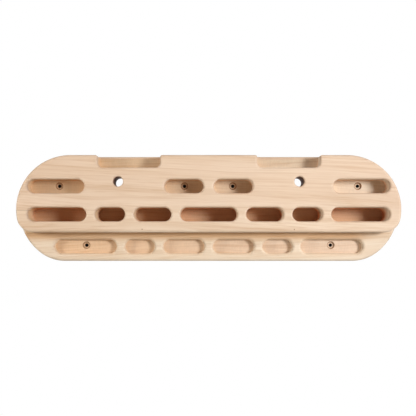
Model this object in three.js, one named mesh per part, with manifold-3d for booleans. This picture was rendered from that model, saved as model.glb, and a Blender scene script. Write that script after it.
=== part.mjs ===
// A wooden hangboard: a block of three glued layers, milled with jugs, finger pockets and screw holes.
// Millimetres. X runs along the board, Z is up, the wall face lies at y = 0 and the front faces -Y.
// The origin is the middle of the wall face. Every layer is a panel of boards glued edge to edge.

import * as THREE from "three";
import { mergeVertices } from "three/addons/utils/BufferGeometryUtils.js";
import Module from "manifold-3d";

const wasm = await Module();
wasm.setup();

// Block: three layers of one thickness
const layerThickness = 20;
const layerCount = 3;

// Outline: the end arcs' centres lie just below mid-height, and the bottom corners are tighter
const endDrop = 2;
const cornerEase = 20;
const tierCornerRadius = 25;
const endMargin = 17.5;

// Rounded edges
const edgeRounding = 4;
const rearRounding = 2;
const mouthRounding = 3.5;
const tierMouthRounding = 5;
const holeRounding = 2.5;

// Heights down the front, in order from the top edge, with one pocket height for all three rows
const jugHeight = 19;
const jugLand = 17.5;
const pocketHeight = 21;
const rowLand = 21.5;
const tierLand = 15;
const underTierLand = 12.5;
const footLand = 11.5;

// Jugs, open at the front and the top
const jugWidth = 94.5;
const jugGap = 146;
const jugDepth = 28;
const jugCornerRadius = 8;

// Middle row: two inner pockets and two outer ones
const middleRowDepth = 30;
const middleRowGap = 15.5;
const middleInnerWidth = 59;
const middleOuterWidth = 85;

// Deep row: widths from the centre pocket outwards, for four, three, two and four fingers
const deepBackWall = 12;
const pocketLand = 13.5;
const deepCentreWidth = 86;
const deepThreeWidth = 56;
const deepTwoWidth = 45;
const deepEndWidth = 88;

// Shallow row, on the lower tier: widths from the centre outwards
const shallowRowDepth = 10;
const shallowInnerWidth = 62.5;
const shallowTwoWidth = 45;
const shallowOuterWidth = 94;

// Hanging holes, each with a recess for the cord's knot in the wall face
const hangingSpacing = 273;
const hangingDrop = 40;
const hangingDiameter = 15;
const knotRecessDiameter = 24;
const knotRecessDepth = 18;

// Screw holes, each with a tapered mouth that narrows to a flat seat for the screw's head. They are pilot holes
// that stop just short of the wall face
const screwRise = 2;
const screwDiameter = 4;
const screwSeatDiameter = 8;
const screwMouthDiameter = 12;
const screwSeatDepth = 3;
const screwSkin = 2;

// The front layer's seam, above the middle of the deep row
const frontSeamRise = 6;

// How far a cut runs past the face it starts from
const overrun = 2;

// Facets
const endSteps = 12;
const cornerSteps = 5;
const slotSteps = 10;
const jugCornerSteps = 4;
const holeSteps = 24;
const roundingSteps = 3;
const quarterTurn = Math.PI / 2;

// How rough all the wood is
const woodRoughness = 0.6;

// Places down the front
const pocketRadius = pocketHeight / 2;
const rowHeights = jugHeight + jugLand + rowLand + tierLand + underTierLand + footLand;
const boardHeight = rowHeights + pocketHeight * 3;
const topZ = boardHeight / 2;
const bottomZ = -topZ;
const jugFloorZ = topZ - jugHeight;
const middleRowZ = jugFloorZ - jugLand - pocketRadius;
const deepRowZ = middleRowZ - pocketHeight - rowLand;
const tierZ = deepRowZ - pocketRadius - tierLand;
const shallowRowZ = tierZ - underTierLand - pocketRadius;
const hangingZ = topZ - hangingDrop;

// Places through the block
const boardDepth = layerThickness * layerCount;
const frontY = -boardDepth;
const tierY = frontY + layerThickness;
const rearLayerY = tierY + layerThickness;

// The deep row sets the board's length
const deepRow = placeRow([deepCentreWidth, deepThreeWidth, deepTwoWidth, deepEndWidth], pocketLand);
const rowEndX = deepRow.at(-1).x + deepEndWidth / 2;
const halfLength = rowEndX + endMargin;
const endRadius = boardHeight / 2 + endDrop;
const endCentreX = halfLength - endRadius;
const endCentreZ = -endDrop;

// Places of a row of pockets that starts with one on the centre line
function placeRow([centreWidth, ...widths], land) {
  const places = [{ x: 0, width: centreWidth }];
  return [...places, ...placeOutwards(widths, centreWidth / 2 + land, land)];
}

// Places of pockets that run outwards on both sides, from a first edge, with one land between them
function placeOutwards(widths, firstEdge, land) {
  const places = [];
  let edge = firstEdge;
  for (const width of widths) {
    const x = edge + width / 2;
    places.push({ x: -x, width }, { x, width });
    edge += width + land;
  }
  return places;
}

// Angles spread evenly from one to another
function spreadAngles(from, to, steps) {
  return Array.from({ length: steps + 1 }, (_, step) => from + ((to - from) * step) / steps);
}

// Points at some angles of a circle, in the plane of the board's face
function circlePoints(centreX, centreZ, radius, angles) {
  return angles.map((angle) => [centreX + radius * Math.cos(angle), centreZ + radius * Math.sin(angle)]);
}

// Angles of an end arc, from its join with a corner up to the top edge: all layers share them but the first
function endAngles(joinAngle) {
  const stride = quarterTurn / endSteps;
  const angles = [joinAngle];
  for (let step = Math.floor(joinAngle / stride) + 1; step <= endSteps; step++) {
    angles.push(step * stride);
  }
  return angles;
}

// A corner arc above a bottom edge, placed so that the end arc runs into it
function placeCorner(lowZ, radius) {
  const z = lowZ + radius;
  const reach = endRadius - radius;
  const drop = endCentreZ - z;
  const shift = Math.sqrt(reach ** 2 - drop ** 2);
  return { x: endCentreX + shift, z, reach, joinAngle: Math.atan2(-drop, shift) };
}

// The board's outline down to a bottom edge, drawn in by an inset: end arcs run into smaller corner arcs
function boardOutline(lowZ, cornerRadius, inset) {
  const { x, z, joinAngle } = placeCorner(lowZ, cornerRadius);
  const cornerAngles = spreadAngles(-quarterTurn, joinAngle, cornerSteps).slice(0, -1);
  const corner = circlePoints(x, z, cornerRadius - inset, cornerAngles);
  const end = circlePoints(endCentreX, endCentreZ, endRadius - inset, endAngles(joinAngle));
  const right = [...corner, ...end];
  const left = right.map(([pointX, pointZ]) => [-pointX, pointZ]).reverse();
  return [...right, ...left];
}

// A pocket's outline with full-round ends, let out by an offset
function slotOutline(centreX, centreZ, width, offset) {
  const endX = width / 2 - pocketRadius;
  const radius = pocketRadius + offset;
  const rightAngles = spreadAngles(-quarterTurn, quarterTurn, slotSteps);
  const leftAngles = spreadAngles(quarterTurn, quarterTurn * 3, slotSteps);
  const right = circlePoints(centreX + endX, centreZ, radius, rightAngles);
  const left = circlePoints(centreX - endX, centreZ, radius, leftAngles);
  return [...right, ...left];
}

// A jug's outline, which runs out past the board's top edge
function jugOutline(centreX, offset) {
  const cornerX = jugWidth / 2 - jugCornerRadius;
  const cornerZ = jugFloorZ + jugCornerRadius;
  const radius = jugCornerRadius + offset;
  const openZ = topZ + overrun;
  const rightAngles = spreadAngles(-quarterTurn, 0, jugCornerSteps);
  const leftAngles = spreadAngles(quarterTurn * 2, quarterTurn * 3, jugCornerSteps);
  const right = circlePoints(centreX + cornerX, cornerZ, radius, rightAngles);
  const left = circlePoints(centreX - cornerX, cornerZ, radius, leftAngles);
  const openRight = [centreX + cornerX + radius, openZ];
  const openLeft = [centreX - cornerX - radius, openZ];
  return [...right, openRight, openLeft, ...left];
}

// A jug's outline in the top edge, seen from above, let out by an offset and running out at the front
function rimOutline(centreX, offset) {
  const halfWidth = jugWidth / 2 + offset;
  const openY = frontY - overrun;
  const backY = frontY + jugDepth + offset;
  const front = [[centreX - halfWidth, openY], [centreX + halfWidth, openY]];
  const back = [[centreX + halfWidth, backY], [centreX - halfWidth, backY]];
  return [...front, ...back];
}

// A circle's outline
function holeOutline(centreX, centreZ, radius) {
  return circlePoints(centreX, centreZ, radius, spreadAngles(0, quarterTurn * 4, holeSteps).slice(1));
}

// A closed solid through convex rings that run the same way round, front to back, then turned about X
function loft(rings, turn = 0) {
  const positions = [];
  const count = rings[0].points.length;
  const corner = (ring, index) => {
    const [x, z] = ring.points[index % count];
    return [x, ring.y, z];
  };
  for (let row = 0; row + 1 < rings.length; row++) {
    const [near, far] = [rings[row], rings[row + 1]];
    for (let index = 0; index < count; index++) {
      positions.push(...corner(near, index), ...corner(far, index), ...corner(far, index + 1));
      positions.push(...corner(near, index), ...corner(far, index + 1), ...corner(near, index + 1));
    }
  }
  const [front, back] = [rings[0], rings.at(-1)];
  for (let index = 1; index + 1 < count; index++) {
    positions.push(...corner(front, 0), ...corner(front, index), ...corner(front, index + 1));
    positions.push(...corner(back, 0), ...corner(back, index + 1), ...corner(back, index));
  }
  const geometry = new THREE.BufferGeometry();
  geometry.setAttribute("position", new THREE.Float32BufferAttribute(positions, 3));
  geometry.rotateX(turn);
  return toSolid(geometry);
}

// A solid for cutting and joining, from a closed geometry
function toSolid(geometry) {
  geometry.deleteAttribute("normal");
  geometry.deleteAttribute("uv");
  const merged = mergeVertices(geometry);
  const vertProperties = new Float32Array(merged.attributes.position.array);
  const triVerts = new Uint32Array(merged.index.array);
  return new wasm.Manifold(new wasm.Mesh({ numProp: 3, vertProperties, triVerts }));
}

// A geometry for a mesh, from a solid
function toGeometry(solid) {
  const { vertProperties, triVerts } = solid.getMesh();
  const geometry = new THREE.BufferGeometry();
  geometry.setAttribute("position", new THREE.BufferAttribute(vertProperties, 3));
  geometry.setIndex(new THREE.BufferAttribute(triVerts, 1));
  geometry.computeVertexNormals();
  return geometry;
}

// A slab that holds everything between two heights
function slabBetween(lowZ, highZ) {
  const width = (halfLength + overrun) * 2;
  const depth = boardDepth + overrun * 2;
  const geometry = new THREE.BoxGeometry(width, depth, highZ - lowZ);
  geometry.translate(0, frontY + boardDepth / 2, (lowZ + highZ) / 2);
  return toSolid(geometry);
}

// Rings of a quarter-round edge: outlineAt gives the outline for a distance that runs from far to 0
function roundedRings(outlineAt, faceY, rounding, inwards) {
  const rings = [];
  for (let step = 0; step <= roundingSteps; step++) {
    const angle = (quarterTurn * step) / roundingSteps;
    const distance = rounding * (1 - Math.sin(angle));
    const y = faceY + inwards * rounding * (1 - Math.cos(angle));
    rings.push({ y, points: outlineAt(distance) });
  }
  return rings;
}

// A cut that starts at a face with a rounded mouth and ends at a flat floor
function mouthCut(outlineAt, faceY, depth, rounding, turn = 0) {
  const start = { y: faceY - overrun, points: outlineAt(rounding) };
  const floor = { y: faceY + depth, points: outlineAt(0) };
  return loft([start, ...roundedRings(outlineAt, faceY, rounding, 1), floor], turn);
}

// A pocket cut into a face
function pocketCut({ x, width }, z, faceY, depth, rounding = mouthRounding) {
  return mouthCut((offset) => slotOutline(x, z, width, offset), faceY, depth, rounding);
}

// A jug cut into the front, and its rounded rim cut down from the top edge
function jugCut(x) {
  const jug = mouthCut((offset) => jugOutline(x, offset), frontY, jugDepth, mouthRounding);
  const rimDepth = jugHeight - jugCornerRadius;
  return jug.add(mouthCut((offset) => rimOutline(x, offset), -topZ, rimDepth, mouthRounding, -quarterTurn));
}

// A hanging hole through the block, and the wider recess for its knot
function hangingCut(x) {
  const outlineAt = (offset) => holeOutline(x, hangingZ, hangingDiameter / 2 + offset);
  const hole = mouthCut(outlineAt, frontY, boardDepth + overrun, holeRounding);
  const points = holeOutline(x, hangingZ, knotRecessDiameter / 2);
  const recess = loft([{ y: -knotRecessDepth, points }, { y: overrun, points }]);
  return hole.add(recess);
}

// A screw hole that starts at a pocket's floor
function screwCut(x, z, floorY) {
  const ring = (y, diameter) => ({ y, points: holeOutline(x, z, diameter / 2) });
  const seatY = floorY + screwSeatDepth;
  return loft([
    ring(floorY - overrun, screwMouthDiameter),
    ring(floorY, screwMouthDiameter),
    ring(seatY, screwSeatDiameter),
    ring(seatY, screwDiameter),
    ring(-screwSkin, screwDiameter),
  ]);
}

// Everything that is milled or drilled out of the block
function makeCavities() {
  const outerX = rowEndX - middleOuterWidth / 2;
  const outerPockets = [-outerX, outerX].map((x) => ({ x, width: middleOuterWidth }));
  const innerPockets = placeOutwards([middleInnerWidth], middleRowGap / 2, pocketLand);
  const middleRow = [...innerPockets, ...outerPockets];
  const shallowWidths = [shallowInnerWidth, shallowTwoWidth, shallowOuterWidth];
  const shallowRow = placeOutwards(shallowWidths, pocketLand / 2, pocketLand);
  const jugX = (jugGap + jugWidth) / 2;
  const hangingX = hangingSpacing / 2;
  const middleScrewZ = middleRowZ + screwRise;
  const shallowScrewZ = shallowRowZ + screwRise;
  const cuts = [
    ...[-jugX, jugX].map(jugCut),
    ...[-hangingX, hangingX].map(hangingCut),
    ...middleRow.map((pocket) => pocketCut(pocket, middleRowZ, frontY, middleRowDepth)),
    ...deepRow.map((pocket) => pocketCut(pocket, deepRowZ, frontY, boardDepth - deepBackWall)),
    ...shallowRow.map((pocket) => pocketCut(pocket, shallowRowZ, tierY, shallowRowDepth, tierMouthRounding)),
    ...middleRow.map(({ x }) => screwCut(x, middleScrewZ, frontY + middleRowDepth)),
    ...shallowRow.slice(-2).map(({ x }) => screwCut(x, shallowScrewZ, tierY + shallowRowDepth)),
  ];
  return cuts.reduce((joined, cut) => joined.add(cut));
}

// The front layer stops at the tier's lower edge and is rounded all round its face
function makeFrontLayer() {
  const outlineAt = (inset) => boardOutline(tierZ, tierCornerRadius, inset);
  const back = { y: tierY, points: outlineAt(0) };
  return loft([...roundedRings(outlineAt, frontY, edgeRounding, 1), back]);
}

// The whole board's outline, drawn in by an inset
function fullOutline(inset) {
  return boardOutline(bottomZ, endRadius - cornerEase, inset);
}

// Height below which the front layer's corner leaves the middle layer's whole rounded edge in sight
function shoulderHeight() {
  const { z, reach, joinAngle } = placeCorner(tierZ, tierCornerRadius);
  const clearRadius = endRadius - edgeRounding;
  const cosine = (clearRadius ** 2 - reach ** 2 - tierCornerRadius ** 2) / (reach * tierCornerRadius * 2);
  return z + tierCornerRadius * Math.sin(joinAngle - Math.acos(cosine));
}

// The middle layer is square-edged behind the front layer and rounded where it shows below it
function makeMiddleLayer() {
  const back = { y: rearLayerY, points: fullOutline(0) };
  const square = loft([{ y: tierY, points: fullOutline(0) }, back]);
  const rounded = loft([...roundedRings(fullOutline, tierY, edgeRounding, 1), back]);
  const covered = slabBetween(shoulderHeight(), topZ + overrun);
  return square.intersect(covered).add(rounded.subtract(covered));
}

// The rear layer has eased edges at the wall face
function makeRearLayer() {
  const front = { y: rearLayerY, points: fullOutline(0) };
  const eased = roundedRings(fullOutline, 0, rearRounding, -1).reverse();
  return loft([front, ...eased]);
}

// Wood of one board, with its own shade
function boardMaterial(colour) {
  return new THREE.MeshStandardMaterial({ color: colour, roughness: woodRoughness, metalness: 0 });
}

// One board of a layer, between its two seams
function makeBoard(name, layer, lowZ, highZ, colour) {
  const solid = layer.intersect(slabBetween(lowZ, highZ)).subtract(cavities);
  const mesh = new THREE.Mesh(toGeometry(solid), boardMaterial(colour));
  mesh.name = name;
  return mesh;
}

const cavities = makeCavities();
const frontLayer = makeFrontLayer();
const middleLayer = makeMiddleLayer();
const rearLayer = makeRearLayer();

// Seams, staggered from layer to layer: each hidden one runs through solid wood between two rows
const frontSeamZ = deepRowZ + frontSeamRise;
const middleUpperSeamZ = jugFloorZ - jugLand / 2;
const middleLowerSeamZ = tierZ + tierLand / 2;
const rearUpperSeamZ = deepRowZ + pocketRadius + rowLand / 2;
const rearLowerSeamZ = tierZ - underTierLand / 2;
const aboveZ = topZ + overrun;
const belowZ = bottomZ - overrun;

const hangboard = new THREE.Group();
hangboard.add(
  makeBoard("front_upper_board", frontLayer, frontSeamZ, aboveZ, 0xe9cdb0),
  makeBoard("front_lower_board", frontLayer, belowZ, frontSeamZ, 0xe6c9ab),
  makeBoard("middle_upper_board", middleLayer, middleUpperSeamZ, aboveZ, 0xdfc2a2),
  makeBoard("middle_centre_board", middleLayer, middleLowerSeamZ, middleUpperSeamZ, 0xe3c5a4),
  makeBoard("middle_lower_board", middleLayer, belowZ, middleLowerSeamZ, 0xe7c9a8),
  makeBoard("rear_upper_board", rearLayer, rearUpperSeamZ, aboveZ, 0xe4c6a7),
  makeBoard("rear_centre_board", rearLayer, rearLowerSeamZ, rearUpperSeamZ, 0xddbe9c),
  makeBoard("rear_lower_board", rearLayer, belowZ, rearLowerSeamZ, 0xe1c3a3),
);

export default hangboard;
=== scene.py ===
import math
from functools import partial

import bpy
import numpy as np
from mathutils import Matrix, Vector


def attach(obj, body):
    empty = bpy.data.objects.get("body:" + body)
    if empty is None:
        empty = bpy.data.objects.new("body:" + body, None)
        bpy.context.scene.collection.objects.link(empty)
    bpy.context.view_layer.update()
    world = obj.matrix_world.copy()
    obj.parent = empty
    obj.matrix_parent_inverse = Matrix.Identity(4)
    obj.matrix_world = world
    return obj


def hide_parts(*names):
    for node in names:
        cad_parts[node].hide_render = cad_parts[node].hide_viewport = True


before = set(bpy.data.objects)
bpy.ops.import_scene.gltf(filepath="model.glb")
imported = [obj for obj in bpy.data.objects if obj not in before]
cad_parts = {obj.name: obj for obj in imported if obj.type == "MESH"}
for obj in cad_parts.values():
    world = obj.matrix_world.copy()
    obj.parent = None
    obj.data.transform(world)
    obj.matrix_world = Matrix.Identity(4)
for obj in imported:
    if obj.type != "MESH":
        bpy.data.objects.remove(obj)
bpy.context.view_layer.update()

scene = bpy.context.scene
scene.view_settings.view_transform = "Standard"
MM = 0.001
QUARTER = math.pi / 2

# Camera: square to the board, a little over a metre in front of it
camera = bpy.data.objects.new("camera", bpy.data.cameras.new("camera"))
scene.collection.objects.link(camera)
scene.camera = camera
camera.location = (-0.0063, -1.16, -0.0465)
camera.rotation_euler = (QUARTER, 0, 0)
camera.data.lens = 63.42
camera.data.sensor_width = 36
camera.data.shift_x = 0.0084
camera.data.shift_y = 0.0745

# Sizes in millimetres, in the frame of the solids: X along the board, Y into the wall and Z up. Cutters
# reach past the faces that they open
TOP = 80
BOTTOM = -80
FRONT = -60
TIER = -40
REAR = -20
HALF_LENGTH = 290
END_RADIUS = 82
END_X = HALF_LENGTH - END_RADIUS
END_Z = -2
FOOT_RADIUS = 62
TIER_RADIUS = 25
EDGE = 4
WALL_EDGE = 2
MOUTH = 3.5
TIER_MOUTH = 5
HOLE_MOUTH = 2.5
PAST = 2

# The upper tier ends as low as photographed, 1.5 mm lower than in the solids
TIER_BOTTOM = -36.5

# Pockets: the height and the floor of each row, and its pockets' places and widths, mirrored left to right
POCKET_RADIUS = 10.5
INNER_X = 37.25
OUTER_X = 230
LOW_OUTER_X = 188.25
ROW_Z = {"middle": 33, "deep": -9.5, "shallow": -58}
ROW_FLOOR = {"middle": -30, "deep": -12, "shallow": -30}
ROWS = {
    "middle": [(INNER_X, 59), (OUTER_X, 85)],
    "deep": [(0, 86), (84.5, 56), (148.5, 45), (228.5, 88)],
    "shallow": [(38, 62.5), (105.25, 45), (LOW_OUTER_X, 94)],
}

# Screw holes, a little above the middle of their pockets: x, z and the pocket floor that each starts from
SCREW_RISE = 2
SCREWS = [
    (x, ROW_Z[row] + SCREW_RISE, ROW_FLOOR[row])
    for row, x in (("middle", INNER_X), ("middle", OUTER_X), ("shallow", LOW_OUTER_X))
]
SCREW_MOUTH_RADIUS = 6
SCREW_SEAT_RADIUS = 4
SCREW_SEAT_DEPTH = 3
SCREW_RADIUS = 2
SCREW_SKIN = 2

# Jugs, open at the front and the top. The cutter that rounds their top rim reaches down by RIM_DEPTH
JUG_X = 120.25
JUG_WIDTH = 94.5
JUG_FLOOR = 61
JUG_BACK = -32
JUG_CORNER = 8
RIM_DEPTH = 11

# Hanging holes, each with a wider recess for the cord's knot behind it
HANGING_X = 136.5
HANGING_Z = 40
HANGING_RADIUS = 7.5
KNOT_RADIUS = 12
KNOT_FRONT = -18

# Glue seams between the boards of each layer
FRONT_SEAM = -3.5
MIDDLE_LOW_SEAM = -27.5
MIDDLE_HIGH_SEAM = 52.25
REAR_LOW_SEAM = -41.25
REAR_HIGH_SEAM = 11.75

# Each board's name and layer, and the heights that it lies between
BOARDS = [
    ("front_upper", "front", FRONT_SEAM, TOP + PAST),
    ("front_lower", "front", BOTTOM - PAST, FRONT_SEAM),
    ("middle_upper", "middle", MIDDLE_HIGH_SEAM, TOP + PAST),
    ("middle_centre", "middle", MIDDLE_LOW_SEAM, MIDDLE_HIGH_SEAM),
    ("middle_lower", "middle", BOTTOM - PAST, MIDDLE_LOW_SEAM),
    ("rear_upper", "rear", REAR_HIGH_SEAM, TOP + PAST),
    ("rear_centre", "rear", REAR_LOW_SEAM, REAR_HIGH_SEAM),
    ("rear_lower", "rear", BOTTOM - PAST, REAR_LOW_SEAM),
]

# Facets: how many make up a quarter turn of the board's end, a corner, a pocket's end, a hole and an edge
END_STEPS = 36
CORNER_STEPS = 14
SLOT_STEPS = 28
HOLE_STEPS = 56
EDGE_STEPS = 8


# An outline is a list of points, each with the outward directions of the sides before and after it
def arc(x, z, radius, start, end, steps, last=True):
    angles = [start + (end - start) * step / steps for step in range(steps + 1)]
    points = []
    for angle in angles if last else angles[:-1]:
        out = (math.cos(angle), math.sin(angle))
        points.append((x + radius * out[0], z + radius * out[1], out, out))
    return points


def mirrored(points):
    return [
        (-x, z, (-after[0], after[1]), (-before[0], before[1]))
        for x, z, before, after in reversed(points)
    ]


def board_outline(low, radius, inset):
    reach = END_RADIUS - radius
    drop = END_Z - (low + radius)
    shift = math.sqrt(reach * reach - drop * drop)
    join = math.atan2(-drop, shift)
    points = arc(END_X + shift, low + radius, radius - inset, -QUARTER, join, CORNER_STEPS, last=False)
    points += arc(END_X, END_Z, END_RADIUS - inset, join, join, 1, last=False)
    stride = QUARTER / END_STEPS
    first = math.floor(join / stride) + 1
    points += arc(END_X, END_Z, END_RADIUS - inset, first * stride, QUARTER, END_STEPS - first)
    return points + mirrored(points)


def front_outline(inset):
    return board_outline(TIER_BOTTOM, TIER_RADIUS, inset)


def full_outline(inset):
    return board_outline(BOTTOM, FOOT_RADIUS, inset)


def slot_outline(x, z, width, offset):
    end = width / 2 - POCKET_RADIUS
    right = arc(x + end, z, POCKET_RADIUS + offset, -QUARTER, QUARTER, SLOT_STEPS)
    return right + arc(x - end, z, POCKET_RADIUS + offset, QUARTER, 3 * QUARTER, SLOT_STEPS)


def hole_outline(x, z, radius, offset=0):
    return arc(x, z, radius + offset, 0, 4 * QUARTER, HOLE_STEPS, last=False)


def jug_outline(x, offset):
    corner = JUG_WIDTH / 2 - JUG_CORNER
    radius = JUG_CORNER + offset
    z = JUG_FLOOR + JUG_CORNER
    right = arc(x + corner, z, radius, -QUARTER, 0, CORNER_STEPS)
    left = arc(x - corner, z, radius, 2 * QUARTER, 3 * QUARTER, CORNER_STEPS)
    open_right = (x + corner + radius, TOP + PAST, (1, 0), (0, 1))
    open_left = (x - corner - radius, TOP + PAST, (0, 1), (-1, 0))
    return right + [open_right, open_left] + left


def rim_outline(x, offset):
    half = JUG_WIDTH / 2 + offset
    near = FRONT - PAST
    far = JUG_BACK + offset
    return [
        (x - half, near, (-1, 0), (0, -1)),
        (x + half, near, (0, -1), (1, 0)),
        (x + half, far, (1, 0), (0, 1)),
        (x - half, far, (0, 1), (-1, 0)),
    ]


# A ring is an outline at a depth y, with the slope of the surface before and after it: 0 faces the
# front, a quarter turn faces out of the outline and half a turn faces the wall
def rounded(outline_at, face, rounding):
    rings = []
    for step in range(EDGE_STEPS + 1):
        slope = QUARTER * step / EDGE_STEPS
        distance = rounding * (1 - math.sin(slope))
        rings.append((face + rounding * (1 - math.cos(slope)), outline_at(distance), slope, slope))
    return rings


def link(name, mesh):
    piece = bpy.data.objects.new(name, mesh)
    scene.collection.objects.link(piece)
    return piece


# A closed mesh through rings from front to back. Its corners carry the direction that the finished
# surface faces: out of a solid, and into the space that a cutter leaves
def loft(name, rings, caps, hollow=False, turn=None):
    sign = -1 if hollow else 1
    count = len(rings[0][1])

    def facing(slope, out):
        return (sign * math.sin(slope) * out[0], -math.cos(slope), sign * math.sin(slope) * out[1])

    places = [(x, y, z) for y, outline, _, _ in rings for x, z, _, _ in outline]
    faces, directions = [], []
    for row in range(len(rings) - 1):
        (_, near, _, near_slope), (_, far, far_slope, _) = rings[row], rings[row + 1]
        for index in range(count):
            following = (index + 1) % count
            base, top = row * count, (row + 1) * count
            faces.append((base + index, top + index, top + following, base + following))
            directions += [
                facing(near_slope, near[index][3]),
                facing(far_slope, far[index][3]),
                facing(far_slope, far[following][2]),
                facing(near_slope, near[following][2]),
            ]
    faces.append(tuple(range(count)))
    faces.append(tuple((len(rings) - 1) * count + index for index in reversed(range(count))))
    directions += [(0, caps[0], 0)] * count + [(0, caps[1], 0)] * count
    mesh = bpy.data.meshes.new(name)
    mesh.from_pydata(places, [], faces)
    if turn:
        mesh.transform(turn)
        directions = [turn @ Vector(direction) for direction in directions]
    return directed(name, mesh, directions)


# Links a mesh whose corners carry the directions given
def directed(name, mesh, directions):
    attribute = mesh.attributes.new("facing", "FLOAT_VECTOR", "CORNER")
    attribute.data.foreach_set("vector", np.array(directions, np.float32).ravel())
    return link(name, mesh)


# A block between two heights, past the board on all its other sides
def slab(name, low, high):
    x, front, back = HALF_LENGTH + PAST, FRONT - PAST, PAST
    places = [(sx * x, y, z) for z in (low, high) for y in (front, back) for sx in (-1, 1)]
    faces = [(0, 2, 3, 1), (4, 5, 7, 6), (0, 1, 5, 4), (2, 6, 7, 3), (0, 4, 6, 2), (1, 3, 7, 5)]
    outs = [(0, 0, -1), (0, 0, 1), (0, -1, 0), (0, 1, 0), (-1, 0, 0), (1, 0, 0)]
    mesh = bpy.data.meshes.new(name)
    mesh.from_pydata(places, [], faces)
    return directed(name, mesh, [out for out in outs for _ in range(4)])


# A cutter with a straight wall behind a rounded mouth
def mouth_cut(name, outline_at, face, floor, rounding, turn=None):
    start = (face - PAST, outline_at(rounding), QUARTER, QUARTER)
    end = (floor, outline_at(0), QUARTER, QUARTER)
    rings = [start] + rounded(outline_at, face, rounding) + [end]
    return loft(name, rings, (1, -1), hollow=True, turn=turn)


def screw_cut(x, z, floor):
    mouth = hole_outline(x, z, SCREW_MOUTH_RADIUS)
    seat = hole_outline(x, z, SCREW_SEAT_RADIUS)
    bore = hole_outline(x, z, SCREW_RADIUS)
    taper = math.atan2(SCREW_SEAT_DEPTH, SCREW_MOUTH_RADIUS - SCREW_SEAT_RADIUS)
    rings = [
        (floor - PAST, mouth, QUARTER, QUARTER),
        (floor, mouth, QUARTER, taper),
        (floor + SCREW_SEAT_DEPTH, seat, taper, 0),
        (floor + SCREW_SEAT_DEPTH, bore, 0, QUARTER),
        (-SCREW_SKIN, bore, QUARTER, QUARTER),
    ]
    return loft("screw_hole", rings, (1, -1), hollow=True)


def make_cutters():
    cutters = []
    onto_top = Matrix.Rotation(-QUARTER, 4, "X")
    for side in (-1, 1):
        x = side * JUG_X
        cutters.append(mouth_cut("jug", partial(jug_outline, x), FRONT, JUG_BACK, MOUTH))
        cutters.append(mouth_cut("rim", partial(rim_outline, x), -TOP, RIM_DEPTH - TOP, MOUTH, onto_top))
    for row, pockets in ROWS.items():
        face, rounding = (TIER, TIER_MOUTH) if row == "shallow" else (FRONT, MOUTH)
        for place, width in pockets:
            for x in sorted({-place, place}):
                outline_at = partial(slot_outline, x, ROW_Z[row], width)
                cutters.append(mouth_cut("pocket", outline_at, face, ROW_FLOOR[row], rounding))
    for side in (-1, 1):
        x = side * HANGING_X
        outline_at = partial(hole_outline, x, HANGING_Z, HANGING_RADIUS)
        cutters.append(mouth_cut("hanging_hole", outline_at, FRONT, PAST, HOLE_MOUTH))
        knot = hole_outline(x, HANGING_Z, KNOT_RADIUS)
        ends = [(KNOT_FRONT, knot, QUARTER, QUARTER), (PAST, knot, QUARTER, QUARTER)]
        cutters.append(loft("knot_recess", ends, (1, -1), hollow=True))
    for x, z, floor in SCREWS:
        cutters += [screw_cut(side * x, z, floor) for side in (-1, 1)]
    return cutters


# A mesh with some other pieces cut out of it, joined to it or kept of it
def carved(piece, others, operation):
    for other in others:
        modifier = piece.modifiers.new("carve", "BOOLEAN")
        modifier.operation = operation
        modifier.solver = "MANIFOLD"
        modifier.object = other
    shown = piece.evaluated_get(bpy.context.evaluated_depsgraph_get())
    mesh = bpy.data.meshes.new_from_object(shown)
    piece.modifiers.clear()
    return mesh


# The three layers with everything cut out. The middle one stays square where the front one covers it
def make_layers():
    front = rounded(front_outline, FRONT, EDGE) + [(TIER, front_outline(0), QUARTER, QUARTER)]
    middle = rounded(full_outline, TIER, EDGE) + [(REAR, full_outline(0), QUARTER, QUARTER)]
    covered = [(y, front_outline(0), QUARTER, QUARTER) for y in (TIER, REAR)]
    eased = [
        (-y, outline, 2 * QUARTER - slope, 2 * QUARTER - slope)
        for y, outline, slope, _ in reversed(rounded(full_outline, 0, WALL_EDGE))
    ]
    rear = [(REAR, full_outline(0), QUARTER, QUARTER)] + eased
    shapes = {"front": front, "middle": middle, "rear": rear}
    layers = {name: loft(name, rings, (-1, 1)) for name, rings in shapes.items()}
    square = loft("covered", covered, (-1, 1))
    layers["middle"].data = carved(layers["middle"], [square], "UNION")
    cutters = make_cutters()
    for layer in layers.values():
        layer.data = carved(layer, cutters, "DIFFERENCE")
    for helper in cutters + [square]:
        bpy.data.objects.remove(helper)
    return layers


# Sets the smooth directions that the corners carry, or the face's own where one has been lost
def finish_mesh(mesh):
    loops = len(mesh.loops)
    facing = np.zeros(loops * 3, np.float32)
    mesh.attributes["facing"].data.foreach_get("vector", facing)
    facing = facing.reshape(-1, 3)
    sizes = np.zeros(len(mesh.polygons), np.int32)
    mesh.polygons.foreach_get("loop_total", sizes)
    flat = np.zeros(len(mesh.polygons) * 3, np.float32)
    mesh.polygons.foreach_get("normal", flat)
    flat = np.repeat(flat.reshape(-1, 3), sizes, axis=0)
    size = np.linalg.norm(facing, axis=1, keepdims=True)
    facing = facing / np.maximum(size, 1e-6)
    lost = (np.sum(facing * flat, axis=1) < 0.6) | (size[:, 0] < 0.5)
    facing[lost] = flat[lost]
    mesh.attributes.remove(mesh.attributes["facing"])
    mesh.transform(Matrix.Scale(MM, 4))
    mesh.polygons.foreach_set("use_smooth", [True] * len(mesh.polygons))
    mesh.normals_split_custom_set(facing.tolist())


# Node shorthand: settings are properties of the node, and inputs are values or sockets by name or number
def node(tree, kind, inputs, **settings):
    made = tree.nodes.new("ShaderNode" + kind)
    for name, value in settings.items():
        setattr(made, name, value)
    for name, value in inputs.items():
        if isinstance(value, bpy.types.NodeSocket):
            tree.links.new(value, made.inputs[name])
        else:
            made.inputs[name].default_value = value
    return made


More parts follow.
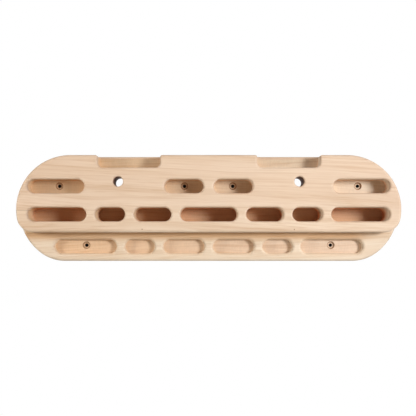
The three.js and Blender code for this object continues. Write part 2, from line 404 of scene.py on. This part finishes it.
# A Math node on values or sockets
def sums(tree, operation, *values, clamp=False):
    inputs = dict(enumerate(values))
    return node(tree, "Math", inputs, operation=operation, use_clamp=clamp).outputs[0]


# A smooth change from start to end as the value goes from low to high
def ramp(tree, value, low, high, start=0.0, end=1.0):
    inputs = {"Value": value, "From Min": low, "From Max": high, "To Min": start, "To Max": end}
    return node(tree, "MapRange", inputs, interpolation_type="SMOOTHSTEP").outputs["Result"]


def blend(tree, factor, first, second, kind="MIX"):
    made = tree.nodes.new("ShaderNodeMix")
    made.data_type = "RGBA"
    made.blend_type = kind
    for socket, value in ((made.inputs[0], factor), (made.inputs[6], first), (made.inputs[7], second)):
        if isinstance(value, bpy.types.NodeSocket):
            tree.links.new(value, socket)
        else:
            socket.default_value = value
    return made.outputs[2]


# The colour times a tint, by as much as the factor says
def tinted(tree, factor, colour, tint):
    return blend(tree, factor, colour, blend(tree, 1.0, colour, tint, "MULTIPLY"))


def length(tree, parts):
    vector = node(tree, "CombineXYZ", parts).outputs[0]
    return node(tree, "VectorMath", {0: vector}, operation="LENGTH").outputs["Value"]


# The distance of a point from a pair of mirrored holes' axes
def from_holes(tree, axes, x, z):
    side = sums(tree, "SUBTRACT", sums(tree, "ABSOLUTE", axes[0]), x)
    rise = sums(tree, "SUBTRACT", axes[2], z)
    return length(tree, {0: side, 1: rise})


# Noise in millimetres, where the stretch is its frequency along each axis
def noise(tree, vector, stretch, detail, rough, shift):
    scaled = node(tree, "Mapping", {"Vector": vector, "Scale": stretch, "Location": shift})
    inputs = {"Vector": scaled.outputs[0], "Scale": 1.0, "Detail": detail, "Roughness": rough}
    return node(tree, "TexNoise", inputs).outputs["Fac"]


# The wood's tones: early wood, broad bands and fine dark lines
PALE = (0.785, 0.632, 0.493)
TAN = (0.70, 0.530, 0.385)
LATE = (0.61, 0.415, 0.265)

# Tints of the outer faces, along their middles, at their ends and on the end grain
CENTRE = (1.045, 1.05, 1.05, 1)
ENDS = (0.93, 0.915, 0.91, 1)
END_GRAIN = (0.84, 0.81, 0.80, 1)

# Tints inside the cuts, nearly all painted shade and light: browner on the left as painted shade, paler on
# the right as painted light, and painted shade in shallow cuts, on deep walls, far in, in the corner under
# the upper tier and in the hanging holes
BROWNER = (0.97, 0.92, 0.78, 1)
PALER = (1.02, 1.10, 1.14, 1)
SLIGHT = (0.96, 0.84, 0.81, 1)
WALL = (1.12, 0.80, 0.66, 1)
DEEP = (0.93, 0.78, 0.66, 1)
CORNER = (0.82, 0.65, 0.49, 1)
HOLE_SHADE = (0.42, 0.25, 0.15, 1)
UNTINTED = (1, 1, 1, 1)

# Depths in a cut between which the tones, mostly painted shade, come in, and how deep the knot recesses
# count
INSIDE_DEPTHS = (1.0, 9.0)
SLIGHT_DEPTHS = (3.0, 9.0)
PAST_SLIGHT_DEPTHS = (11.0, 26.0)
WALL_DEPTHS = (10.0, 36.0)
DEEP_DEPTHS = (28.0, 46.0)
HOLE_SHADE_DEPTHS = (2.0, 6.0)
RECESS_SHARE = 0.25

# Depth itself comes in past the board's edges and ahead of the wall face
EDGE_REACH = (1.0, 6.0)
WALL_FACE_REACH = (0.0, -4.0)

# The painted shade in the corner under the tier fades out between these distances from the corner
CORNER_DISTANCES = (5.0, 17.0)

# Stretches along the board (x): where the cuts' painted tint goes from browner (painted shade) to paler
# (painted light), where that corner's painted shade fades, and where the seams fade
PALER_REACH = (-300.0, 260.0)
CORNER_REACH = (215.0, 262.0)
SEAM_REACH = (-268.0, -255.0)

# Colours of the painted shade on the screw holes' tapers and of the flecks, and of the painted black shade
# in the bores
DARK_BROWN = (0.30, 0.16, 0.08, 1)
BORE_SHADE = (0.012, 0.007, 0.005, 1)

# Two dark flecks low on the upper tier (x, z)
FLECKS = [(-100, -31.9), (128.5, -32.2)]

# Each plank's seed, the heart of its rings (y, z), how its grain climbs along it, and its own tone
WOODS = {
    "front_upper": (1, (70, -62), 0.05, (0.98, 0.965, 0.96)),
    "front_lower": (2, (60, 34), 0.04, (1.0, 1.0, 0.995)),
    "middle_upper": (3, (-150, 20), -0.02, (0.98, 0.965, 0.95)),
    "middle_centre": (4, (80, 60), 0.02, (1.0, 1.0, 1.0)),
    "middle_lower": (5, (50, -20), -0.03, (1.03, 1.08, 1.10)),
    "rear_upper": (6, (90, 0), 0.02, (0.99, 0.98, 0.965)),
    "rear_centre": (7, (-160, 30), 0.01, (0.955, 0.935, 0.91)),
    "rear_lower": (8, (70, -120), -0.02, (0.985, 0.965, 0.945)),
}


# How deep a point lies in a cut, in millimetres: 0 on every outer face. The knot recesses are open at the
# wall face, so they count as less deep
def cut_depth(tree, axes):
    over_end = sums(tree, "MAXIMUM", sums(tree, "SUBTRACT", sums(tree, "ABSOLUTE", axes[0]), END_X), 0.0)
    up = sums(tree, "SUBTRACT", axes[2], END_Z)
    past_end = sums(tree, "SUBTRACT", length(tree, {0: over_end, 2: up}), END_RADIUS)
    past_edge = sums(tree, "SUBTRACT", sums(tree, "ABSOLUTE", axes[2]), TOP)
    inset = sums(tree, "MULTIPLY", sums(tree, "MAXIMUM", past_end, past_edge), -1.0)
    step = sums(tree, "MULTIPLY", sums(tree, "LESS_THAN", axes[2], TIER_BOTTOM - 0.2), TIER - FRONT)
    depth = sums(tree, "SUBTRACT", sums(tree, "SUBTRACT", axes[1], FRONT), step)
    within = sums(tree, "MULTIPLY", ramp(tree, inset, *EDGE_REACH), ramp(tree, axes[1], *WALL_FACE_REACH))
    depth = sums(tree, "MULTIPLY", depth, within)
    recess = sums(tree, "LESS_THAN", from_holes(tree, axes, HANGING_X, HANGING_Z), KNOT_RADIUS + 0.5)
    recess = sums(tree, "MULTIPLY", recess, sums(tree, "GREATER_THAN", axes[1], KNOT_FRONT - 0.1))
    return sums(tree, "MULTIPLY", depth, sums(tree, "MULTIPLY_ADD", recess, RECESS_SHARE - 1.0, 1.0))


# Bare wood: growth rings about a heart, which drift and sway along the trunk, with dark streaks, fibres
# and pores that follow them. Gives the colour, a brightness to multiply it by, the fibres and the pores
def bare_wood(tree, here, axes, seed, heart, slope, tone, shift):
    drift = noise(tree, here, (0.0030, 0.009, 0.009), 2.0, 0.4, shift)
    sway = noise(tree, here, (0.009, 0.02, 0.03), 1.0, 0.5, shift[::-1])
    lift = sums(tree, "MULTIPLY", sums(tree, "SUBTRACT", drift, 0.5), 30.0)
    lift = sums(tree, "MULTIPLY_ADD", sums(tree, "SUBTRACT", sway, 0.5), 5.0, lift)
    lift = sums(tree, "MULTIPLY_ADD", axes[0], slope, lift)
    lifted = sums(tree, "ADD", axes[2], lift)
    through = sums(tree, "SUBTRACT", axes[1], heart[0])
    radius = length(tree, {0: through, 1: sums(tree, "SUBTRACT", lifted, heart[1])})

    # Bands of rings: noise over their radius that changes slowly along the board
    def bands(rate, stretch, detail, rough, offset):
        place = node(tree, "CombineXYZ", {
            0: sums(tree, "MULTIPLY", radius, rate),
            1: sums(tree, "MULTIPLY", axes[0], stretch),
            2: seed + offset,
        }).outputs[0]
        inputs = {"Vector": place, "Scale": 1.0, "Detail": detail, "Roughness": rough}
        return node(tree, "TexNoise", inputs).outputs["Fac"]

    broad = ramp(tree, bands(0.12, 0.0012, 3.0, 0.6, 0.0), 0.34, 0.70)
    fine = ramp(tree, bands(0.46, 0.0030, 2.0, 0.55, 7.0), 0.50, 0.72)
    hair = bands(1.7, 0.0080, 2.0, 0.6, 13.0)
    cloud = noise(tree, here, (0.006, 0.02, 0.02), 2.0, 0.5, shift)

    # Streaks, fibres and pores lie along the grain
    grain = node(tree, "CombineXYZ", {0: axes[0], 1: axes[1], 2: lifted}).outputs[0]
    streaks = ramp(tree, noise(tree, grain, (0.017, 0.42, 0.42), 3.0, 0.6, shift), 0.42, 0.76)
    patches = noise(tree, here, (0.007, 0.02, 0.035), 1.0, 0.5, shift[::-1])
    streaks = sums(tree, "MULTIPLY", streaks, ramp(tree, patches, 0.35, 0.65, 0.4, 1.0))
    fibre = noise(tree, grain, (0.045, 1.1, 1.1), 3.0, 0.6, shift)
    pores = ramp(tree, noise(tree, grain, (0.11, 1.9, 1.9), 2.0, 0.6, shift), 0.64, 0.76)

    pale, tan, dark = (
        tuple(part * share for part, share in zip(colour, tone)) + (1,)
        for colour in (PALE, TAN, LATE)
    )
    colour = blend(tree, sums(tree, "MULTIPLY", broad, 0.75), pale, tan)
    colour = blend(tree, sums(tree, "MULTIPLY", fine, 0.5), colour, dark)
    colour = blend(tree, sums(tree, "MULTIPLY", streaks, 0.75), colour, dark)
    value = sums(tree, "MULTIPLY_ADD", cloud, 0.08, 0.885)
    value = sums(tree, "MULTIPLY_ADD", hair, 0.06, value)
    value = sums(tree, "MULTIPLY_ADD", fibre, 0.09, value)
    value = sums(tree, "MULTIPLY_ADD", pores, -0.06, value)
    return colour, value, fibre, pores


# The outer faces are a little paler along their middles, and darker and greyer on the end grain
def outer_tones(tree, axes, turned, inside, colour):
    outer = sums(tree, "SUBTRACT", 1.0, inside)
    along = ramp(tree, sums(tree, "ABSOLUTE", sums(tree, "SUBTRACT", axes[0], 30.0)), 90.0, 320.0)
    colour = tinted(tree, outer, colour, blend(tree, along, CENTRE, ENDS))
    end_on = ramp(tree, sums(tree, "ABSOLUTE", turned[0]), 0.5, 0.97)
    return tinted(tree, sums(tree, "MULTIPLY", end_on, outer), colour, END_GRAIN)


# Painted shade and light inside the cuts: browner towards the left and paler towards the right, darker in
# shallow cuts, and darker and redder far in and on the walls, but for those at the left ends
def painted_cut_shade(tree, axes, turned, depth, inside, wall, colour):
    deep = ramp(tree, depth, *DEEP_DEPTHS)
    tint = blend(tree, ramp(tree, axes[0], *PALER_REACH), BROWNER, PALER)
    tint = blend(tree, sums(tree, "MULTIPLY", deep, 0.7), tint, UNTINTED)
    walled = sums(tree, "MULTIPLY", wall, ramp(tree, depth, *WALL_DEPTHS))
    walled = sums(tree, "MULTIPLY", walled, ramp(tree, turned[0], 0.2, 0.8, 1.0, 0.25))
    tint = tinted(tree, walled, tint, WALL)
    colour = tinted(tree, inside, colour, tint)
    colour = tinted(tree, deep, colour, DEEP)
    slight = ramp(tree, depth, *PAST_SLIGHT_DEPTHS, 1.0, 0.0)
    slight = sums(tree, "MULTIPLY", ramp(tree, depth, *SLIGHT_DEPTHS), slight)
    slight = sums(tree, "MULTIPLY", slight, sums(tree, "SUBTRACT", 1.0, wall))
    return tinted(tree, slight, colour, SLIGHT)


# Painted shade in the corner under the upper tier: browner, but for its right end
def painted_tier_shade(tree, axes, colour):
    below = sums(tree, "SUBTRACT", TIER_BOTTOM, axes[2])
    behind = sums(tree, "SUBTRACT", axes[1], TIER)
    corner = ramp(tree, length(tree, {0: behind, 1: below}), *CORNER_DISTANCES, 1.0, 0.0)
    corner = sums(tree, "MULTIPLY", corner, sums(tree, "GREATER_THAN", below, 0.2))
    corner = sums(tree, "MULTIPLY", corner, ramp(tree, axes[0], *CORNER_REACH, 1.0, 0.2))
    return tinted(tree, corner, colour, CORNER)


# Painted shade in the hanging holes: their walls are darkened and browned
def painted_hole_shade(tree, axes, depth, colour):
    out = from_holes(tree, axes, HANGING_X, HANGING_Z)
    near = ramp(tree, out, HANGING_RADIUS + 0.5, HANGING_RADIUS + 1.5, 1.0, 0.0)
    near = sums(tree, "MULTIPLY", near, ramp(tree, depth, *HOLE_SHADE_DEPTHS))
    return tinted(tree, near, colour, HOLE_SHADE)


# Glue lines, where the plank meets its neighbours: clearest at the left end, and between layers only on
# faces that cross them
def glue_lines(tree, axes, wall, low, high):
    def from_plane(axis, place):
        return sums(tree, "ABSOLUTE", sums(tree, "SUBTRACT", axes[axis], place))

    seam = ramp(tree, sums(tree, "MINIMUM", from_plane(2, low), from_plane(2, high)), 0.15, 0.5, 1.0, 0.0)
    seam = sums(tree, "MULTIPLY", seam, ramp(tree, axes[0], *SEAM_REACH, 0.3, 0.06))
    layer_seam = sums(tree, "MINIMUM", from_plane(1, TIER), from_plane(1, REAR))
    layer_seam = ramp(tree, layer_seam, 0.1, 0.4, 0.22, 0.0)
    return sums(tree, "MAXIMUM", seam, sums(tree, "MULTIPLY", layer_seam, wall))


# Painted shade in the screw holes: their tapers are darkened towards dark brown, and their bores and the
# bores' rims are black. The wall face, which the bores stop short of, stays bare
def painted_screw_hole_shade(tree, axes, colour):
    ahead = sums(tree, "LESS_THAN", axes[1], -SCREW_SKIN / 2)
    for x, z, floor in SCREWS:
        out = from_holes(tree, axes, x, z)
        sunk = sums(tree, "SUBTRACT", axes[1], floor)
        ring = ramp(tree, out, SCREW_MOUTH_RADIUS, SCREW_MOUTH_RADIUS + 0.3, 1.0, 0.0)
        ring = sums(tree, "MULTIPLY", ring, ramp(tree, sunk, 0.05, 0.4))
        ring = sums(tree, "MULTIPLY", ring, ramp(tree, out, SCREW_SEAT_RADIUS, SCREW_SEAT_RADIUS + 0.3))
        ring = sums(tree, "MULTIPLY", sums(tree, "MULTIPLY", ring, 0.75), ahead)
        bore = ramp(tree, out, SCREW_RADIUS + 0.5, SCREW_RADIUS + 0.8, 1.0, 0.0)
        rim = ramp(tree, sunk, SCREW_SEAT_DEPTH - 0.3, SCREW_SEAT_DEPTH - 0.1)
        bore = sums(tree, "MULTIPLY", sums(tree, "MULTIPLY", bore, rim), ahead)
        colour = blend(tree, ring, colour, DARK_BROWN)
        colour = blend(tree, bore, colour, BORE_SHADE)
    return colour


def flecked(tree, here, colour):
    for x, z in FLECKS:
        out = node(tree, "VectorMath", {0: here, 1: (x, FRONT, z)}, operation="DISTANCE").outputs["Value"]
        colour = blend(tree, ramp(tree, out, 0.5, 1.3, 0.8, 0.0), colour, DARK_BROWN)
    return colour


# Solid wood for one plank, in its own place: bare wood, the tones of its outer faces, painted shade and
# light in its cuts, under the tier and in the holes, the cutter's marks, and the glue lines at the plank's
# lower and upper seam
def make_wood(name, seed, heart, slope, tone, low, high):
    material = bpy.data.materials.new(name)
    material.use_nodes = True
    tree = material.node_tree
    position = node(tree, "TexCoord", {}).outputs["Object"]
    to_mm = (1 / MM, 1 / MM, 1 / MM)
    here = node(tree, "VectorMath", {0: position, 1: to_mm}, operation="MULTIPLY").outputs[0]
    axes = node(tree, "SeparateXYZ", {0: here}).outputs
    turned = node(tree, "SeparateXYZ", {0: node(tree, "NewGeometry", {}).outputs["Normal"]}).outputs
    shift = (seed * 3.7, seed * 1.9, seed * 5.3)

    # Where a point is inside a cut, and where its face runs from front to back
    depth = cut_depth(tree, axes)
    inside = ramp(tree, depth, *INSIDE_DEPTHS)
    wall = ramp(tree, sums(tree, "ABSOLUTE", turned[1]), 0.3, 0.7, 1.0, 0.0)

    colour, value, fibre, pores = bare_wood(tree, here, axes, seed, heart, slope, tone, shift)
    colour = outer_tones(tree, axes, turned, inside, colour)
    # Painted shade and light in the cuts, in the corner under the tier and in the hanging holes
    colour = painted_cut_shade(tree, axes, turned, depth, inside, wall, colour)
    colour = painted_tier_shade(tree, axes, colour)
    colour = painted_hole_shade(tree, axes, depth, colour)

    # The cutter's marks show inside the cuts alone
    chatter = noise(tree, here, (0.6, 0.6, 0.17), 2.0, 0.7, shift)
    marks = sums(tree, "MULTIPLY", sums(tree, "SUBTRACT", chatter, 0.5), inside)
    value = sums(tree, "MULTIPLY_ADD", marks, 0.2, value)
    value = sums(tree, "SUBTRACT", value, glue_lines(tree, axes, wall, low, high))
    shade = node(tree, "CombineColor", {0: value, 1: value, 2: value}).outputs[0]
    colour = tinted(tree, 1.0, colour, shade)
    # Painted shade in the screw holes, then the dark flecks
    colour = painted_screw_hole_shade(tree, axes, colour)
    colour = flecked(tree, here, colour)

    rough = sums(tree, "MULTIPLY_ADD", fibre, 0.16, 0.5)
    rough = sums(tree, "MULTIPLY_ADD", inside, 0.06, rough)
    height = sums(tree, "MULTIPLY_ADD", fibre, 0.5, sums(tree, "MULTIPLY", marks, 1.2))
    height = sums(tree, "MULTIPLY_ADD", pores, -0.6, height)
    bump = node(tree, "Bump", {"Height": height, "Strength": 0.25, "Distance": 0.00012})
    shader = tree.nodes["Principled BSDF"]
    tree.links.new(colour, shader.inputs["Base Color"])
    tree.links.new(rough, shader.inputs["Roughness"])
    tree.links.new(bump.outputs[0], shader.inputs["Normal"])
    shader.inputs["Specular IOR Level"].default_value = 0.22
    return material


# The planks: each is its layer between two heights
layers = make_layers()
for name, layer, low, high in BOARDS:
    between = slab("between", low, high)
    mesh = carved(layers[layer], [between], "INTERSECT")
    bpy.data.objects.remove(between)
    mesh.name = name + "_plank"
    finish_mesh(mesh)
    piece = link(name + "_plank", mesh)
    mesh.materials.clear()
    mesh.materials.append(make_wood(name + "_wood", *WOODS[name], low, high))
    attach(piece, "root")
    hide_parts(name + "_board")
for layer in layers.values():
    bpy.data.objects.remove(layer)


# Floor: a pale disc far below the board, in metres, faded out at its rim and beyond the camera's view
FLOOR_Z = -0.8
FLOOR_RADIUS = 1.3
FLOOR_FADE = (0.6, 1.25)
SPOKES = 96
ring_shares = [0.25, 0.5, 0.75, 1.0]
places = [(0, 0, 0)] + [
    (FLOOR_RADIUS * share * math.cos(turn), FLOOR_RADIUS * share * math.sin(turn), 0)
    for share in ring_shares for turn in (4 * QUARTER * step / SPOKES for step in range(SPOKES))
]
faces = [(0, 1 + step, 1 + (step + 1) % SPOKES) for step in range(SPOKES)]
for ring in range(len(ring_shares) - 1):
    near = 1 + ring * SPOKES
    far = near + SPOKES
    for step in range(SPOKES):
        following = (step + 1) % SPOKES
        faces.append((near + step, far + step, far + following, near + following))
floor_mesh = bpy.data.meshes.new("floor")
floor_mesh.from_pydata(places, [], faces)
floor = link("floor", floor_mesh)
floor.location = (0, 0, FLOOR_Z)
paint = bpy.data.materials.new("floor")
paint.use_nodes = True
tree = paint.node_tree
position = node(tree, "TexCoord", {}).outputs["Object"]
away = node(tree, "VectorMath", {0: position}, operation="LENGTH").outputs["Value"]
mottle = node(tree, "TexNoise", {"Vector": position, "Scale": 6.0, "Detail": 3.0}).outputs["Fac"]
tone = blend(tree, mottle, (0.86, 0.855, 0.85, 1), (0.9, 0.9, 0.895, 1))
shader = tree.nodes["Principled BSDF"]
tree.links.new(tone, shader.inputs["Base Color"])
shader.inputs["Roughness"].default_value = 0.8
clear = tree.nodes.new("ShaderNodeBsdfTransparent")
gone = ramp(tree, away, *FLOOR_FADE)
fade = node(tree, "MixShader", {0: gone, 1: shader.outputs[0], 2: clear.outputs[0]})
tree.links.new(fade.outputs[0], tree.nodes["Material Output"].inputs["Surface"])
floor_mesh.materials.append(paint)


# World: white where it is seen or mirrored, and otherwise soft, dim in front and brighter behind
AMBIENT_FRONT = 0.06
AMBIENT_BACK = 0.55
world = bpy.data.worlds.new("studio")
scene.world = world
world.use_nodes = True
tree = world.node_tree
tree.nodes.clear()
way = node(tree, "SeparateXYZ", {0: node(tree, "TexCoord", {}).outputs["Generated"]}).outputs
level = ramp(tree, way[1], -0.1, 0.5, AMBIENT_FRONT, AMBIENT_BACK)
soft = node(tree, "Background", {"Color": (1, 1, 1, 1), "Strength": level})
white = node(tree, "Background", {"Color": (1, 1, 1, 1), "Strength": 1.0})
path = node(tree, "LightPath", {}).outputs
seen = sums(tree, "ADD", path["Is Camera Ray"], path["Is Glossy Ray"])
seen = sums(tree, "ADD", seen, path["Is Transmission Ray"], clamp=True)
both = node(tree, "MixShader", {0: seen, 1: soft.outputs[0], 2: white.outputs[0]})
output = tree.nodes.new("ShaderNodeOutputWorld")
tree.links.new(both.outputs[0], output.inputs["Surface"])


# A lamp in a direction from the board, sized by the angle it fills, where brightness 1 is a white wall's
def soft_box(name, azimuth, elevation, wide, high, brightness, colour, distance):
    lamp = bpy.data.objects.new(name, bpy.data.lights.new(name, "AREA"))
    width = 2 * distance * math.tan(math.radians(wide / 2))
    height = 2 * distance * math.tan(math.radians(high / 2))
    lamp.data.shape = "ELLIPSE"
    lamp.data.size = width
    lamp.data.size_y = height
    area = QUARTER / 2 * width * height
    lamp.data.energy = brightness * area * math.pi
    lamp.data.color = colour
    lamp.visible_camera = False
    across, up = math.radians(azimuth), math.radians(elevation)
    way = Vector((math.sin(across) * math.cos(up), -math.cos(across) * math.cos(up), math.sin(up)))
    lamp.location = Vector((0, TIER * MM, 0)) + way * distance
    lamp.rotation_euler = way.to_track_quat("Z", "Y").to_euler()
    scene.collection.objects.link(lamp)


# Name, azimuth, elevation, width and height in degrees, then brightness, colour and distance in metres
soft_box("key", 47, 7, 17, 15, 43.5, (1, 1, 1), 1.4)
soft_box("ceiling", -10, 42, 60, 40, 1.1, (1, 0.80, 0.68), 0.85)
soft_box("left", -67, 6, 13, 12, 31, (1, 0.99, 0.93), 0.8)
soft_box("low_left", -30, -25, 50, 18, 1.55, (1, 0.86, 0.66), 1.5)
